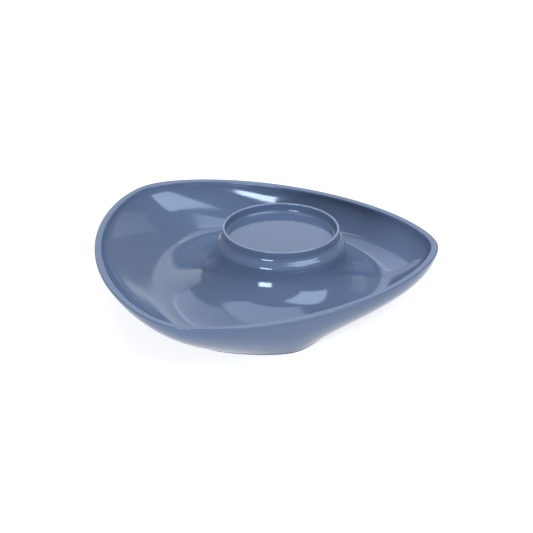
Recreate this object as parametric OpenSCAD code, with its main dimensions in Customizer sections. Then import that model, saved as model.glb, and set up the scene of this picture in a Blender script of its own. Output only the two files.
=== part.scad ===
// Chip and dip server: a three-cornered chip tray with a raised pedestal,
// a lift-out dip cup that sits on the pedestal, and a non-slip ring in the foot.
// Millimetres, +Z up, z = 0 is the table, +X points to the corner nearest the cup.
// The origin is under the middle of the tray's bounding box.

/* [Tray] */
// Width of the tray, the same in every direction
tray_width = 354; // [330:0.5:380]
// How far each corner stands out beyond a round tray
corner_reach = 15.9; // [12:0.1:18]
// Height of the rim above the table
rim_height = 52.5; // [48:0.5:60]
// Width of the flat top of the rim
rim_width = 7.5; // [5:0.5:9]
// Thickness of the rolled edge under the rim's top
rim_edge = 3; // [2:0.5:4]
// Horizontal thickness of the outer wall
wall = 5; // [4:0.5:6]
// Height of the tray's inner floor above the table
floor_height = 5.4; // [5:0.2:7]
// How strongly the outer wall bellies out at the sides, 1 is a straight cone
belly = 1.8; // [1.4:0.05:2]
// How much more it bellies at the corner nearest the cup, and less opposite it
tip_belly = 0.3; // [0:0.05:0.4]

/* [Pedestal] */
// Distance from the middle of the tray to the cup's axis, towards the corner
cup_offset = 30; // [20:1:36]
// Height of the pedestal's top, where the cup's flange rests
seat_height = 57.4; // [55:0.2:60]
// Radius of the pedestal's steep wall at the shoulder
shoulder_radius = 66.2; // [65:0.2:68]
// Height at which the steep wall starts to curve out into the skirt
knee_top = 53.7; // [50:0.1:56]
// Radius of that curve
knee_radius = 35; // [30:1:38]
// Height that the skirt's long sweep runs down to
sweep_low = 10; // [6:0.5:12]
// Radius of the opening in the pedestal's top
opening_radius = 58.4; // [56:0.2:60]
// Thickness of the pedestal's shell
shell = 3.2; // [2.6:0.2:4]

/* [Dip cup] */
// Outside diameter of the cup's rim
cup_diameter = 120; // [114:1:121]
// Height of the cup's rim above the table
cup_height = 77; // [74:0.5:80]
// Depth of the cup inside
cup_depth = 10; // [8:0.5:15]
// Thickness of the cup's wall
cup_wall = 2.6; // [2:0.1:3]
// Gap between the cup and the pedestal
cup_gap = 0.3; // [0.2:0.05:0.4]
// Length of the locating collar below the flange
collar_length = 10; // [6:1:14]

/* [Foot] */
// Height of the non-slip ring that shows under the foot
ring_height = 1; // [0.8:0.1:1.6]
// Width of the non-slip ring
ring_width = 4.2; // [3.6:0.1:5]
// Width of the ring's tongue, which is pressed into the foot's groove
tongue_width = 1.6; // [1.2:0.1:2]
// Height of the ring's tongue
tongue_height = 1.4; // [1:0.1:1.6]

/* [Hidden] */
$fn = 96;

// Outlines are drawn around the cup's axis, which lies here along X.
cup_x = cup_offset - corner_reach;
directions = 90;                       // section planes around the cup's axis
angle_step = 360 / directions;

// The foot's outline is a band stretched around five discs, [x, y, radius],
// whose straight stretches are softened over this many degrees of normal.
foot_discs = [[80, 0, 19], [1, 97, 39], [1, -97, 39], [-40, 76, 53], [-40, -76, 53]];
softening = 20;

// The wall meets the underside of the rolled edge at this height and inset.
wall_top = rim_height - rim_edge;
edge_step = 1.5;
edge_round = 0.8;                      // size of the rolled edge's corners
inner_top = rim_height - edge_round;

// Cup and pedestal section, made of arcs given by the slope of their normals.
steep = 5;                             // normal of the pedestal's steep wall
ledge = 55;                            // normal where the neck's fillet turns over
fillet_radius = 6;
shoulder_round = 8.5;
cup_radius = cup_diameter / 2;
shoulder_z = seat_height + 1.5;
ledge_r = cup_radius + fillet_radius * (1 - cos(ledge));
neck_z = shoulder_z + shoulder_round * (sin(ledge) - sin(steep)) + fillet_radius * sin(ledge);

// The pedestal's skirt: the steep wall, a knee and a long sweep, two arcs whose
// centres are given as radius and height, that meet at the slope knee_end.
knee_end = 60;
knee_r = shoulder_radius + (shoulder_z - knee_top) * tan(steep) + knee_radius * cos(steep);
knee_z = knee_top + knee_radius * sin(steep);
sweep_radius = (knee_z - knee_radius * sin(knee_end) - sweep_low) / (1 - sin(knee_end));
sweep_r = knee_r + (sweep_radius - knee_radius) * cos(knee_end);
sweep_z = sweep_low + sweep_radius;

function mix(a, b, s) = a + (b - a) * s;
function total(v) = v * [for (x = v) 1];

// Support functions: distance from the cup's axis to a line that touches the
// outline and whose normal points at angle t, for every whole degree t.
rim_support = [for (t = [0 : 359])
    tray_width / 2 + corner_reach * cos(3 * t) - cup_offset * cos(t)];
disc_support = [for (t = [0 : 359])
    max([for (d = foot_discs) (d[0] - cup_x) * cos(t) + d[1] * sin(t) + d[2]])];
window = [for (d = [-softening : softening]) 1 + cos(180 * d / (softening + 1))];
foot_support = [for (t = [0 : 359])
    window * [for (d = [-softening : softening]) disc_support[(t + d + 360) % 360]] / total(window)];

// Distance from the cup's axis to an outline in direction number k.
function reach(support, inset, k) = min([for (t = [0 : 359])
    let (c = cos(t - k * angle_step)) if (c > 0.3) (support[t] - inset) / c]);
function outline(support, inset) = [for (k = [0 : directions - 1]) reach(support, inset, k)];

rim_0 = outline(rim_support, 0);
rim_soft = outline(rim_support, edge_round);
rim_step = outline(rim_support, edge_step);
rim_in_top = outline(rim_support, rim_width - 0.6);
rim_in = outline(rim_support, rim_width + 0.2);
foot_0 = outline(foot_support, 0);

// Share of the way from foot to rim at a share g of the height, and back.
function belly_at(k) = belly + tip_belly * cos(k * angle_step);
function belly_out(k, g) = 1 - pow(1 - g, belly_at(k));
function belly_up(k, u) = 1 - pow(1 - min(u, 1), 1 / belly_at(k));

// Heights and radii of the tray's surfaces in direction number k.
function outer_r(k, z) =
    mix(foot_0[k], rim_step[k], belly_out(k, (z - ring_height) / (wall_top - ring_height)));
function inner_foot(k) = foot_0[k] - wall;
function wall_z(k, r) =
    mix(floor_height, inner_top, belly_up(k, (r - inner_foot(k)) / (rim_in[k] - inner_foot(k))));
function wall_r(k, z) =
    mix(inner_foot(k), rim_in[k], belly_out(k, (z - floor_height) / (inner_top - floor_height)));
function arc_z(r, centre_r, centre_z, radius) =
    centre_z - sqrt(max(radius * radius - pow(max(centre_r - r, 0), 2), 0));
function skirt_z(r, grow) = let (knee = knee_radius + grow, wall_r = knee_r - knee * cos(steep))
    r < wall_r ? knee_z - knee * sin(steep) + (wall_r - r) / tan(steep)
    : r < knee_r - knee * cos(knee_end) ? arc_z(r, knee_r, knee_z, knee)
    : arc_z(r, sweep_r, sweep_z, sweep_radius + grow);

// The valley between skirt and wall is rounded by a blend that fades out
// towards the shoulder and towards the rim.
valley_blend = 8;
valley_reach = 40;
function smooth_step(x) = let (s = min(max(x, 0), 1)) s * s * (3 - 2 * s);
function smooth_max(a, b, size) = (a + b + sqrt((a - b) * (a - b) + size * size)) / 2;
function blend_at(k, r) = valley_blend * smooth_step((r - shoulder_radius) / valley_reach)
    * (1 - smooth_step((r / rim_in[k] - 0.8) / 0.2));
function top_z(k, r) = smooth_max(skirt_z(r, 0), wall_z(k, r), blend_at(k, r));

// Height at which the hollow's ceiling meets the inside of the foot's wall.
function hollow_edge(k, low, high, n) = let (z = (low + high) / 2)
    n == 0 ? z
    : skirt_z(outer_r(k, z) - wall, shell) > z ? hollow_edge(k, z, high, n - 1)
    : hollow_edge(k, low, z, n - 1);

skirt_steps = 13;
wall_steps = 9;
outer_steps = 9;
hollow_steps = 10;
groove_gap = 0.05;
groove_in = (ring_width - tongue_width) / 2 - groove_gap;
groove_out = groove_in + tongue_width + 2 * groove_gap;
groove_top = ring_height + tongue_height + 0.1;
foot_edge = 0.6;                       // inset of the foot's flat from its outline

// One section of the tray as [radius, height] points, from the opening's top
// edge outwards over the top, round the rim, under the foot and back inside.
function tray_section(k) =
    let (
        start_r = shoulder_radius + (shoulder_z - seat_height) * tan(steep),
        turn_r = mix(inner_foot(k), rim_in[k], 0.42),
        turn_z = wall_z(k, turn_r),
        edge_z = hollow_edge(k, ring_height, 40, 24),
        edge_r = outer_r(k, edge_z) - wall,
        under_top_r = opening_radius + 2,
        f = foot_0[k] - foot_edge
    )
    concat(
        [[opening_radius, seat_height], [start_r, seat_height]],
        [for (i = [1 : skirt_steps]) let (r = mix(start_r, turn_r, pow(i / skirt_steps, 2.2)))
            [r, top_z(k, r)]],
        [for (i = [1 : wall_steps]) let (z = mix(turn_z, inner_top, i / wall_steps), r = wall_r(k, z))
            [r, i == wall_steps ? inner_top : top_z(k, r)]],
        [[rim_in_top[k], rim_height], [rim_soft[k], rim_height]],
        [[rim_0[k], inner_top], [rim_0[k], wall_top + edge_round], [rim_soft[k], wall_top]],
        [for (i = [outer_steps : -1 : 0]) let (z = mix(ring_height + 0.7, wall_top, i / outer_steps))
            [outer_r(k, z), z]],
        [[f, ring_height], [f - groove_in, ring_height], [f - groove_in, groove_top]],
        [[f - groove_out, groove_top], [f - groove_out, ring_height]],
        [for (i = [0 : 3]) let (z = mix(ring_height, edge_z, i / 3)) [outer_r(k, z) - wall - 0.4, z]],
        [for (i = [1 : hollow_steps]) let (r = mix(under_top_r, edge_r - 0.4, pow(1 - i / hollow_steps, 2)))
            [r, min(skirt_z(r, shell), seat_height - shell)]],
        [[opening_radius, seat_height - shell]]
    );

module tray() {
    sections = [for (k = [0 : directions - 1]) tray_section(k)];
    n = len(sections[0]);
    points = [for (k = [0 : directions - 1]) for (p = sections[k])
        [p[0] * cos(k * angle_step), p[0] * sin(k * angle_step), p[1]]];
    faces = [for (k = [0 : directions - 1]) for (i = [0 : n - 1])
        let (a = k * n, b = ((k + 1) % directions) * n, j = (i + 1) % n)
        each [[a + i, a + j, b + j], [a + i, b + j, b + i]]];
    color([0.39, 0.46, 0.59]) translate([cup_x, 0, 0])
        polyhedron(points = points, faces = faces, convexity = 8);
}

// Arc points from a centre, with the angle measured from the outward radius.
function arc(c, r, from, to, steps) =
    [for (i = [0 : steps]) let (a = mix(from, to, i / steps)) c + r * [cos(a), sin(a)]];

module dip_cup() {
    inner_r = cup_radius - cup_wall;
    lip = 1;                           // round on each edge of the cup's lip
    lip_z = cup_height - lip;
    well_z = cup_height - cup_depth;
    corner = 3.5;                      // round between the cup's wall and floor
    flange_z = seat_height + cup_gap;
    collar_r = opening_radius - cup_gap;
    collar_z = flange_z - collar_length;
    fillet_c = [cup_radius + fillet_radius, neck_z];
    turn = [ledge_r, neck_z - fillet_radius * sin(ledge)];
    shoulder_c = turn - shoulder_round * [cos(ledge), sin(ledge)];
    outline = concat(
        [[0, well_z]],
        arc([inner_r - corner, well_z + corner], corner, -90, 0, 8),
        arc([inner_r + lip, lip_z], lip, 180, 90, 6),
        arc([cup_radius - lip, lip_z], lip, 90, 0, 6),
        arc(fillet_c, fillet_radius, 180, 180 + ledge, 10),
        arc(shoulder_c, shoulder_round, ledge, steep, 8),
        [[shoulder_radius + 0.1, flange_z], [collar_r, flange_z]],
        [[collar_r, collar_z + 1], [collar_r - 1, collar_z]],
        [[collar_r - cup_wall, collar_z], [collar_r - cup_wall, well_z - cup_wall]],
        [[0, well_z - cup_wall]]
    );
    color([0.41, 0.48, 0.61]) translate([cup_x, 0, 0]) rotate_extrude() polygon(outline);
}

// The foot's outline as a flat shape, drawn in by the given inset.
module foot_shape(inset) {
    polygon([for (k = [0 : directions - 1])
        (foot_0[k] - inset) * [cos(k * angle_step), sin(k * angle_step)]]);
}

module foot_band(from, to, low, height) {
    translate([cup_x, 0, low]) linear_extrude(height) difference() {
        foot_shape(from);
        foot_shape(to);
    }
}

module foot_ring() {
    tongue_in = foot_edge + groove_in + groove_gap;
    overlap = 0.2;                     // the tongue's root inside the band
    color([0.22, 0.27, 0.38]) union() {
        foot_band(foot_edge, foot_edge + ring_width, 0, ring_height);
        foot_band(tongue_in, tongue_in + tongue_width, ring_height - overlap, tongue_height + overlap);
    }
}

tray();
dip_cup();
foot_ring();
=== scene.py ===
"""Chip and dip server: smooth meshes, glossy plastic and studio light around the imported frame."""
import math

import bmesh
import bpy
import numpy as np
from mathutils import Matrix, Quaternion, Vector


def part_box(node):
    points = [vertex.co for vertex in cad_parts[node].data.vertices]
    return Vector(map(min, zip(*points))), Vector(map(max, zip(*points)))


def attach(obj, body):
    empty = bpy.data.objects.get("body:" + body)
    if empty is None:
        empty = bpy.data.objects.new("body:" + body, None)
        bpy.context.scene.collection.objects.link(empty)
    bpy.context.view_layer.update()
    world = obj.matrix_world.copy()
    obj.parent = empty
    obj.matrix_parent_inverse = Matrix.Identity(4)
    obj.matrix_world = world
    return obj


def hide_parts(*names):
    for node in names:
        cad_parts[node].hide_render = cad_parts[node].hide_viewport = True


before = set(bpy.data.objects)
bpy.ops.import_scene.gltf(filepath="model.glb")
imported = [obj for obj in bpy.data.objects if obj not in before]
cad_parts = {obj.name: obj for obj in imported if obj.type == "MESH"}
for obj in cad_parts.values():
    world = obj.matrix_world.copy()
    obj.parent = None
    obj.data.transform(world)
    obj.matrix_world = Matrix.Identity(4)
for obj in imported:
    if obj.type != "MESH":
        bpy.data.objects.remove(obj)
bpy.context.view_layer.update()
MM = 0.001

# --- sizes, in millimetres, from the frame's boxes and the part's own design ---
tray_low, tray_high = (np.array(v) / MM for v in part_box("tray"))
cup_low, cup_high = (np.array(v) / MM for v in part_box("dip_cup"))
CUP_X = (cup_low[0] + cup_high[0]) / 2
CUP_TOP = cup_high[2]
SEAT_Z = tray_high[2]
FOOT_Z = tray_low[2]
TRAY_WIDTH = tray_high[1] - tray_low[1]
CORNER_REACH = 15.9
CUP_OFFSET = CUP_X + CORNER_REACH
RIM_Z = 52.5
RIM_WIDTH = 7.5
RIM_EDGE = 3.0
EDGE_STEP = 1.5
WALL = 5.0
FLOOR_Z = 5.4
BELLY = 1.8
TIP_BELLY = 0.3
SHELL = 3.2
FOOT_DISCS = [(80, 0, 19), (1, 97, 39), (1, -97, 39), (-40, 76, 53), (-40, -76, 53)]
SOFTENING = math.radians(21)
OPENING_R = 58.4
CUP_R = 60.0
CUP_WALL = 2.6
CUP_DEPTH = 10.0
CUP_LIP = 1.0
CUP_CORNER = 3.5
COLLAR_LENGTH = 10.0
GAP = 0.3
SEAM = 0.12
STEEP = math.radians(5)
LEDGE = math.radians(55)
FILLET_R = 6.0
SHOULDER_ROUND = 8.5
SHOULDER_R = 66.2
SHOULDER_Z = SEAT_Z + 1.5
VALLEY_BLEND = 8.0
VALLEY_REACH = 40.0
SWEEP_LOW = 10.0
KNEE_RADIUS = 35.0
KNEE_TOP = 53.7
KNEE_END = math.radians(60)
KNEE_R = SHOULDER_R + (SHOULDER_Z - KNEE_TOP) * math.tan(STEEP) + KNEE_RADIUS * math.cos(STEEP)
KNEE_Z = KNEE_TOP + KNEE_RADIUS * math.sin(STEEP)
KNEE_LOW = KNEE_Z - KNEE_RADIUS * math.sin(KNEE_END)
SWEEP_RADIUS = (KNEE_LOW - SWEEP_LOW) / (1 - math.sin(KNEE_END))
SWEEP_R = KNEE_R + (SWEEP_RADIUS - KNEE_RADIUS) * math.cos(KNEE_END)
SWEEP_Z = SWEEP_LOW + SWEEP_RADIUS

DIRECTIONS = 288
INSIDE_ROWS = 88
OUTSIDE_ROWS = 44
UNDERSIDE_ROWS = 56
NORMALS = 7200
NORMAL = np.arange(NORMALS) * 2 * math.pi / NORMALS
PHI = np.arange(DIRECTIONS) * 2 * math.pi / DIRECTIONS


# --- outlines around the cup's axis ---
def slope_of(support):
    """The slope of a periodic row of values against the angle."""
    waves = np.fft.rfft(support)
    return np.fft.irfft(1j * np.arange(len(waves)) * waves, NORMALS)


def softened(support):
    """The same outline with its straight stretches bowed out a little."""
    angle = np.minimum(NORMAL, 2 * math.pi - NORMAL)
    window = np.where(angle < SOFTENING, 1 + np.cos(math.pi * angle / SOFTENING), 0)
    return np.fft.irfft(np.fft.rfft(support) * np.fft.rfft(window / window.sum()), NORMALS)


def outline(support, inset):
    """Distance from the cup's axis to the outline in each direction, drawn in by inset."""
    slope = slope_of(support)
    x = (support - inset) * np.cos(NORMAL) - slope * np.sin(NORMAL)
    y = (support - inset) * np.sin(NORMAL) + slope * np.cos(NORMAL)
    angle = np.unwrap(np.arctan2(y, x))
    turn = 2 * math.pi
    angle = np.concatenate([angle - turn, angle, angle + turn])
    return np.interp(PHI, angle, np.tile(np.hypot(x, y), 3))


def disc_reach(x, y, radius):
    """Distance from the cup's axis to a line that touches a disc, for each normal."""
    return (x - CUP_X) * np.cos(NORMAL) + y * np.sin(NORMAL) + radius


RIM_SUPPORT = TRAY_WIDTH / 2 + CORNER_REACH * np.cos(3 * NORMAL) - CUP_OFFSET * np.cos(NORMAL)
FOOT_SUPPORT = softened(np.max([disc_reach(*disc) for disc in FOOT_DISCS], axis=0))


def rim(inset):
    """The rim's outline, drawn in by inset."""
    return outline(RIM_SUPPORT, inset)


def mix(a, b, s):
    return a + (b - a) * s


def smooth_step(x):
    x = np.clip(x, 0, 1)
    return x * x * (3 - 2 * x)


def resample(path, count):
    """Points evenly spaced along each direction's path. path is (points, directions, 2)."""
    step = np.hypot(*np.moveaxis(np.diff(path, axis=0), 2, 0))
    length = np.concatenate([np.zeros((1, path.shape[1])), np.cumsum(step, axis=0)])
    out = np.empty((count, path.shape[1], 2))
    for k in range(path.shape[1]):
        at = np.linspace(0, length[-1, k], count)
        out[:, k, 0] = np.interp(at, length[:, k], path[:, k, 0])
        out[:, k, 1] = np.interp(at, length[:, k], path[:, k, 1])
    return out


def arc(centre, radius, start, end, steps):
    """Arc points [radius, height]; angles in degrees from the outward direction."""
    a = np.radians(np.linspace(start, end, steps + 1))
    return [(centre[0] + radius * math.cos(t), centre[1] + radius * math.sin(t)) for t in a]


# --- the tray's surfaces ---
FOOT_R = outline(FOOT_SUPPORT, 0)
BELLY_AT = BELLY + TIP_BELLY * np.cos(PHI)
INNER_FOOT = FOOT_R - WALL
RIM_IN = rim(RIM_WIDTH + 0.2)
RIM_STEP = rim(EDGE_STEP)
INNER_TOP = RIM_Z - 0.8
WALL_TOP = RIM_Z - RIM_EDGE


def arc_height(r, centre_r, centre_z, radius):
    return centre_z - np.sqrt(np.maximum(radius ** 2 - np.maximum(centre_r - r, 0) ** 2, 0))


def skirt_height(r, grow):
    """The pedestal's skirt: a steep wall, a knee and a long sweep down to the floor."""
    knee = KNEE_RADIUS + grow
    wall_r = KNEE_R - knee * math.cos(STEEP)
    wall_z = KNEE_Z - knee * math.sin(STEEP) + (wall_r - r) / math.tan(STEEP)
    knee_z = arc_height(r, KNEE_R, KNEE_Z, knee)
    sweep_z = arc_height(r, SWEEP_R, SWEEP_Z, SWEEP_RADIUS + grow)
    return np.where(r < wall_r, wall_z, np.where(r < KNEE_R - knee * math.cos(KNEE_END), knee_z, sweep_z))


def wall_height(r):
    u = np.minimum((r - INNER_FOOT) / (RIM_IN - INNER_FOOT), 1)
    return mix(FLOOR_Z, INNER_TOP, 1 - (1 - u) ** (1 / BELLY_AT))


def wall_radius(z):
    return mix(INNER_FOOT, RIM_IN, 1 - (1 - (z - FLOOR_Z) / (INNER_TOP - FLOOR_Z)) ** BELLY_AT)


def outer_radius(z):
    return mix(FOOT_R, RIM_STEP, 1 - (1 - (z - FOOT_Z) / (WALL_TOP - FOOT_Z)) ** BELLY_AT)


def top_height(r):
    """The tray's inside: the skirt and the wall, blended where they meet."""
    skirt, wall = skirt_height(r, 0), wall_height(r)
    fade = 1 - smooth_step((r / RIM_IN - 0.8) / 0.2)
    blend = VALLEY_BLEND * smooth_step((r - SHOULDER_R) / VALLEY_REACH) * fade
    return (skirt + wall + np.sqrt((skirt - wall) ** 2 + blend ** 2)) / 2


def inside_path():
    """From the pedestal's top edge down the skirt, over the floor and up the wall."""
    start = SHOULDER_R + 1.8 * math.tan(STEEP)
    turn = mix(INNER_FOOT, RIM_IN, 0.4)
    turn_z = wall_height(turn)
    rows = [start + (turn - start) * s ** 3 for s in np.linspace(0, 1, 300)]
    rows += [wall_radius(mix(turn_z, INNER_TOP - 0.4, s)) for s in np.linspace(0, 1, 200)[1:]]
    path = np.array([np.stack([r * np.ones(DIRECTIONS), top_height(r)], -1) for r in rows])
    return resample(path, INSIDE_ROWS)


def lip_path():
    """The rolled rim, from its inner edge over the flat top to the step under it."""
    edge = 1.3
    inner = arc((RIM_WIDTH - edge, RIM_Z - edge), edge, 0, 90, 6)
    outer = arc((edge, RIM_Z - edge), edge, 90, 180, 6)
    low = arc((0.7, WALL_TOP + 0.7), 0.7, 180, 270, 4)
    corners = inner + [(RIM_WIDTH / 2, RIM_Z)] + outer + low + [(EDGE_STEP, WALL_TOP - 0.1)]
    return np.array([np.stack([rim(inset), np.full(DIRECTIONS, z)], -1) for inset, z in corners])


def outside_path():
    """Down the bellied outer wall to the foot, then across the foot's edge."""
    heights = mix(WALL_TOP - 0.6, FOOT_Z + 1.2, np.linspace(0, 1, 200))
    path = np.array([np.stack([outer_radius(z), np.full(DIRECTIONS, z)], -1) for z in heights])
    wall = resample(path, OUTSIDE_ROWS)
    tuck = [(0.0, 0.8), (0.15, 0.35), (0.6, 0.0), (1.2, 0.0), (WALL - 1.4, 0.0), (WALL - 0.6, 0.0)]
    base = outer_radius(FOOT_Z + 0.4)
    edge = [np.stack([base - inset, np.full(DIRECTIONS, FOOT_Z + lift)], -1) for inset, lift in tuck]
    return np.concatenate([wall, np.array(edge)])


def underside_path():
    """Up the inside of the foot's wall and along the hollow's ceiling to the opening."""
    low, high = np.full(DIRECTIONS, FOOT_Z), np.full(DIRECTIONS, 40.0)
    for _ in range(30):
        z = (low + high) / 2
        above = skirt_height(outer_radius(z) - WALL, SHELL) > z
        low, high = np.where(above, z, low), np.where(above, high, z)
    edge_z = low
    rows = []
    for s in np.linspace(0, 1, 60):
        z = mix(FOOT_Z + 0.4, edge_z, s)
        rows.append(np.stack([outer_radius(z) - WALL - 0.4, z], -1))
    edge_r = outer_radius(edge_z) - WALL - 0.4
    for s in np.linspace(0, 1, 120)[1:]:
        r = mix(edge_r, OPENING_R + 2.4, s)
        rows.append(np.stack([r, np.minimum(skirt_height(r, SHELL), SEAT_Z - SHELL)], -1))
    return resample(np.array(rows), UNDERSIDE_ROWS)


def ring_rows(points):
    """Round rows shared by every direction, from a list of [radius, height]."""
    return np.array([np.tile(p, (DIRECTIONS, 1)) for p in points])


def seat_path():
    """The opening's wall and the flat ring that carries the cup's flange."""
    edge = SHOULDER_R + 1.5 * math.tan(STEEP)
    return ring_rows([(OPENING_R, SEAT_Z - SHELL), (OPENING_R, SEAT_Z - 1.0), (OPENING_R, SEAT_Z - 0.4),
                      (OPENING_R + 0.4, SEAT_Z), (edge - 0.8, SEAT_Z), (edge - 0.2, SEAT_Z)])


# --- mesh making ---
def mesh_from_rows(name, rows, closed):
    """A surface from rows of [radius, height] round the cup's axis."""
    count = len(rows)
    last = count - 1
    x = CUP_X + rows[..., 0] * np.cos(PHI)
    y = rows[..., 0] * np.sin(PHI)
    verts = np.stack([x, y, rows[..., 1]], -1).reshape(-1, 3) * MM
    faces = []
    for i in range(count if closed else last):
        j = (i + 1) % count
        for k in range(DIRECTIONS):
            m = (k + 1) % DIRECTIONS
            here, there = i * DIRECTIONS, j * DIRECTIONS
            faces.append((here + k, there + k, there + m, here + m))
    verts = verts.tolist()
    if not closed:
        for row in (0, last):
            middle = (CUP_X * MM, 0.0, float(rows[row, 0, 1]) * MM)
            verts.append(middle)
            hub = len(verts) - 1
            for k in range(DIRECTIONS):
                a, b = row * DIRECTIONS + k, row * DIRECTIONS + (k + 1) % DIRECTIONS
                faces.append((hub, a, b) if row == 0 else (hub, b, a))
    mesh = bpy.data.meshes.new(name)
    mesh.from_pydata(verts, [], faces)
    mesh.validate()
    piece = bpy.data.objects.new(name, mesh)
    bpy.context.scene.collection.objects.link(piece)
    recalculate(mesh)
    mesh.shade_smooth()
    weighted = piece.modifiers.new("weighted", "WEIGHTED_NORMAL")
    weighted.keep_sharp = False
    weighted.weight = 60
    return piece


def recalculate(mesh):
    """All faces turned outwards."""
    bm = bmesh.new()
    bm.from_mesh(mesh)
    bmesh.ops.recalc_face_normals(bm, faces=bm.faces)
    bm.to_mesh(mesh)
    bm.free()


def make_tray():
    """The tray's closed section: seat, inside, lip, outside and underside."""
    rows = np.concatenate([seat_path(), inside_path(), lip_path(), outside_path(), underside_path()])
    return mesh_from_rows("tray_shell", rows, True)


def make_cup():
    """One closed section: the well, the lip, the ledge, the flange, the collar and the underside."""
    inner = CUP_R - CUP_WALL
    lip = CUP_LIP
    lip_z = CUP_TOP - lip
    well = CUP_TOP - CUP_DEPTH
    under = well - CUP_WALL
    corner = CUP_CORNER
    flange = SEAT_Z + SEAM
    collar = OPENING_R - GAP
    collar_in = collar - CUP_WALL
    collar_z = flange - COLLAR_LENGTH
    ledge_r = CUP_R + FILLET_R * (1 - math.cos(LEDGE))
    neck = SHOULDER_Z + SHOULDER_ROUND * (math.sin(LEDGE) - math.sin(STEEP)) + FILLET_R * math.sin(LEDGE)
    shoulder = (ledge_r - SHOULDER_ROUND * math.cos(LEDGE),
                neck - FILLET_R * math.sin(LEDGE) - SHOULDER_ROUND * math.sin(LEDGE))
    floor = [(r, well) for r in np.linspace(4, inner - corner - 1, 12)]
    points = floor + arc((inner - corner, well + corner), corner, -90, 0, 16)
    points += [(inner, z) for z in np.linspace(well + corner + 1, lip_z - 0.5, 6)]
    points += arc((inner + lip, lip_z), lip, 180, 90, 8) + arc((CUP_R - lip, lip_z), lip, 90, 0, 8)
    points += [(CUP_R, z) for z in np.linspace(lip_z - 0.5, neck + 0.3, 5)]
    points += arc((CUP_R + FILLET_R, neck), FILLET_R, 180, 180 + math.degrees(LEDGE), 22)
    points += arc(shoulder, SHOULDER_ROUND, math.degrees(LEDGE), math.degrees(STEEP), 18)[1:]
    points += [(SHOULDER_R + 0.1, flange + 0.3), (SHOULDER_R + 0.05, flange + 0.1)]
    points += [(SHOULDER_R - 0.1, flange), (SHOULDER_R - 1, flange), (collar + 1, flange)]
    points += [(collar, flange), (collar, flange - 1)]
    points += [(collar, collar_z + 1.5), (collar - 0.3, collar_z + 0.3), (collar - 1, collar_z)]
    points += [(collar_in + 0.3, collar_z), (collar_in, collar_z + 0.3), (collar_in, under - 1)]
    points += [(collar_in - 1, under)]
    points += [(r, under) for r in np.linspace(collar_in - 3, 4, 8)]
    return mesh_from_rows("dip_cup_shell", ring_rows(points), False)


def make_ring():
    """The non-slip ring: a flat band with rounded edges that follows the foot's outline."""
    width, edge, drop = 4.2, 0.6, 0.35
    low, high = 0.0, FOOT_Z
    section = [(edge + drop, low), (edge + 0.1, low + 0.1), (edge, low + drop), (edge, high - 0.02),
               (edge + width, high - 0.02), (edge + width, low + drop), (edge + width - 0.1, low + 0.1),
               (edge + width - drop, low), (edge + width / 2, low)]
    rows = np.array([np.stack([FOOT_R - inset, np.full(DIRECTIONS, z)], -1) for inset, z in section])
    return mesh_from_rows("non_slip_ring", rows, True)


# --- materials ---
def nodes_of(material):
    material.use_nodes = True
    tree = material.node_tree
    tree.nodes.clear()
    return tree


def add(tree, kind, **values):
    node = tree.nodes.new(kind)
    for key, value in values.items():
        setattr(node, key, value)
    return node


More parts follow.
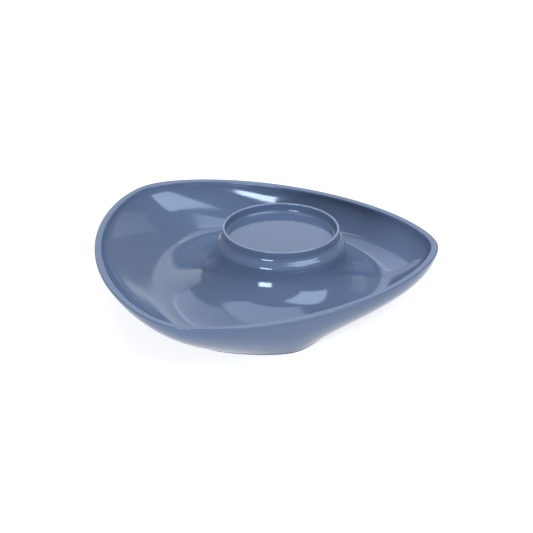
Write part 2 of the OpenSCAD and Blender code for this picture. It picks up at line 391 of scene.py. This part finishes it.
def plastic(name, dark, light, roughness, grain, painted_highlight_above):
    """Moulded plastic: tone drift, skin grain, rubbed patches that vary the gloss, and a painted
    highlight that lightens the base colour to a pale blue above a given height.
    """
    material = bpy.data.materials.new(name)
    tree = nodes_of(material)
    link = tree.links.new
    out = add(tree, "ShaderNodeOutputMaterial")
    shader = add(tree, "ShaderNodeBsdfPrincipled")
    place = add(tree, "ShaderNodeTexCoord")
    drift = add(tree, "ShaderNodeTexNoise")
    drift.inputs["Scale"].default_value = 9
    drift.inputs["Detail"].default_value = 3
    tone = add(tree, "ShaderNodeValToRGB")
    tone.color_ramp.elements[0].position, tone.color_ramp.elements[1].position = 0.3, 0.7
    tone.color_ramp.elements[0].color = (*dark, 1)
    tone.color_ramp.elements[1].color = (*light, 1)
    skin = add(tree, "ShaderNodeTexNoise")
    skin.inputs["Scale"].default_value = 900
    skin.inputs["Detail"].default_value = 2
    rub = add(tree, "ShaderNodeTexNoise")
    rub.inputs["Scale"].default_value = 60
    rub.inputs["Detail"].default_value = 6
    gloss = add(tree, "ShaderNodeMapRange")
    gloss.inputs["From Min"].default_value = 0.35
    gloss.inputs["From Max"].default_value = 0.75
    gloss.inputs["To Min"].default_value = roughness * 0.8
    gloss.inputs["To Max"].default_value = roughness * 1.5
    height = add(tree, "ShaderNodeSeparateXYZ")
    # painted highlight: above the given height the base colour is mixed up to 22% towards the pale blue
    # below, standing in for the light the top of the lip catches
    painted_highlight = add(tree, "ShaderNodeMapRange")
    painted_highlight.inputs["From Min"].default_value = painted_highlight_above * MM
    painted_highlight.inputs["From Max"].default_value = (painted_highlight_above + 0.6) * MM
    painted_highlight.inputs["To Max"].default_value = 0.22
    tone_and_painted_highlight = add(tree, "ShaderNodeMixRGB", blend_type="MIX")
    tone_and_painted_highlight.inputs["Color2"].default_value = (0.30, 0.37, 0.52, 1)
    bump = add(tree, "ShaderNodeBump")
    bump.inputs["Strength"].default_value = grain
    bump.inputs["Distance"].default_value = 0.0002
    for texture in (drift, skin, rub):
        link(place.outputs["Object"], texture.inputs["Vector"])
    link(drift.outputs["Fac"], tone.inputs["Fac"])
    link(place.outputs["Object"], height.inputs["Vector"])
    link(height.outputs["Z"], painted_highlight.inputs["Value"])
    link(painted_highlight.outputs["Result"], tone_and_painted_highlight.inputs["Fac"])
    link(tone.outputs["Color"], tone_and_painted_highlight.inputs["Color1"])
    link(tone_and_painted_highlight.outputs["Color"], shader.inputs["Base Color"])
    link(rub.outputs["Fac"], gloss.inputs["Value"])
    link(gloss.outputs["Result"], shader.inputs["Roughness"])
    link(skin.outputs["Fac"], bump.inputs["Height"])
    link(bump.outputs["Normal"], shader.inputs["Normal"])
    shader.inputs["IOR"].default_value = 1.5
    shader.inputs["Specular Tint"].default_value = (0.72, 0.82, 1.0, 1)
    link(shader.outputs["BSDF"], out.inputs["Surface"])
    return material


def floor_material():
    """Plain pale matt, lit a little from within so that the shadow stays faint."""
    material = bpy.data.materials.new("pale_floor")
    tree = nodes_of(material)
    out = add(tree, "ShaderNodeOutputMaterial")
    shader = add(tree, "ShaderNodeBsdfPrincipled")
    shader.inputs["Base Color"].default_value = (0.4, 0.4, 0.4, 1)
    shader.inputs["Roughness"].default_value = 0.8
    shader.inputs["Emission Color"].default_value = (1, 1, 1, 1)
    shader.inputs["Emission Strength"].default_value = 0.78
    tree.links.new(shader.outputs["BSDF"], out.inputs["Surface"])
    return material


# --- the pieces ---
def dress(piece, node, body, material):
    """Give a piece its material and tell the frame what it rides on and replaces."""
    piece.data.materials.append(material)
    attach(piece, body)
    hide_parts(node)


# the last argument is the height above which each colour is lightened as a painted highlight
tray_plastic = plastic("slate_blue_plastic", (0.070, 0.099, 0.163), (0.076, 0.106, 0.174), 0.11, 0.02,
                       SEAT_Z + 1.0)
cup_plastic = plastic("slate_blue_cup_plastic", (0.073, 0.103, 0.168), (0.079, 0.110, 0.179), 0.08, 0.02,
                      CUP_TOP - 1.0)
ring_rubber = plastic("soft_foot_rubber", (0.040, 0.054, 0.096), (0.050, 0.066, 0.112), 0.6, 0.3, FOOT_Z)
dress(make_tray(), "tray", "tray_body", tray_plastic)
dress(make_cup(), "dip_cup", "cup_body", cup_plastic)
dress(make_ring(), "foot_ring", "tray_body", ring_rubber)


# --- floor, light and camera ---
SOFT_WHITE = (0.82, 0.90, 1.0)
FLOOR_REACH = 30.0
IMAGE_SIZE = 533
FRAME_SCALE = 0.971


def make_floor():
    reach = FLOOR_REACH
    corners = [(-reach, -reach, 0), (reach, -reach, 0), (reach, reach, 0), (-reach, reach, 0)]
    mesh = bpy.data.meshes.new("floor")
    mesh.from_pydata(corners, [], [(0, 1, 2, 3)])
    floor = bpy.data.objects.new("floor", mesh)
    bpy.context.scene.collection.objects.link(floor)
    mesh.materials.append(floor_material())


def panel(name, place, facing, size, brightness, roll=0):
    """A flat evenly lit panel, turned about its own middle by roll degrees."""
    light = bpy.data.lights.new(name, "AREA")
    light.shape = "RECTANGLE"
    light.size, light.size_y = size
    light.energy = brightness * math.pi * size[0] * size[1]
    light.color = SOFT_WHITE
    lamp = bpy.data.objects.new(name, light)
    lamp.location = place
    lamp.rotation_mode = "QUATERNION"
    turned = Quaternion((0, 0, 1), math.radians(roll))
    lamp.rotation_quaternion = Vector(facing).to_track_quat("-Z", "Y") @ turned
    lamp.visible_camera = False
    bpy.context.scene.collection.objects.link(lamp)


def softbox(name, around, above, distance, size, brightness):
    """A panel placed by its direction: degrees round from the front and degrees up."""
    turn, rise = math.radians(around), math.radians(above)
    out = Vector((math.sin(turn) * math.cos(rise), -math.cos(turn) * math.cos(rise), math.sin(rise)))
    panel(name, out * distance, -out, size, brightness)


def make_world(strength):
    """Even white light from everywhere."""
    world = bpy.data.worlds.new("studio")
    bpy.context.scene.world = world
    world.use_nodes = True
    world.node_tree.nodes["Background"].inputs["Color"].default_value = (1, 1, 1, 1)
    world.node_tree.nodes["Background"].inputs["Strength"].default_value = strength


def make_camera():
    """The photo's viewpoint: turned, raised and rolled about a target near the cup."""
    turn, rise, roll = (math.radians(a) for a in (-5.41, 26.03, 0.52))
    distance = 4500
    target = Vector((0.2, 6.1, 30.0)) * MM
    back = Vector((math.sin(turn) * math.cos(rise), -math.cos(turn) * math.cos(rise), math.sin(rise)))
    data = bpy.data.cameras.new("camera")
    data.sensor_width = 36
    data.lens = FRAME_SCALE * distance / IMAGE_SIZE * data.sensor_width
    data.clip_end = 100
    camera = bpy.data.objects.new("camera", data)
    camera.location = target + back * distance * MM
    camera.rotation_mode = "QUATERNION"
    camera.rotation_quaternion = (-back).to_track_quat("-Z", "Y") @ Quaternion((0, 0, 1), roll)
    bpy.context.scene.collection.objects.link(camera)
    bpy.context.scene.camera = camera


make_camera()
make_floor()
make_world(0.36)
panel("ceiling", (-0.26, 0.52, 2.0), (0, 0, -1), (1.40, 1.16), 3.4)
panel("backdrop", (-0.20, 2.4, 0.80), (0, -1, 0), (1.84, 1.6), 1.08, -16)
panel("backdrop_top", (-0.20, 1.78, 1.85), (0, -1.78, -1.85), (1.30, 1.25), 1.8)
softbox("key", -30, 15, 2.0, (0.70, 0.46), 28)
softbox("side_box", 54, 55, 2.2, (1.6, 1.45), 7.0)
softbox("right_wall", 137, 24, 2.4, (0.8, 1.1), 0.5)
bpy.context.scene.view_settings.view_transform = "Standard"
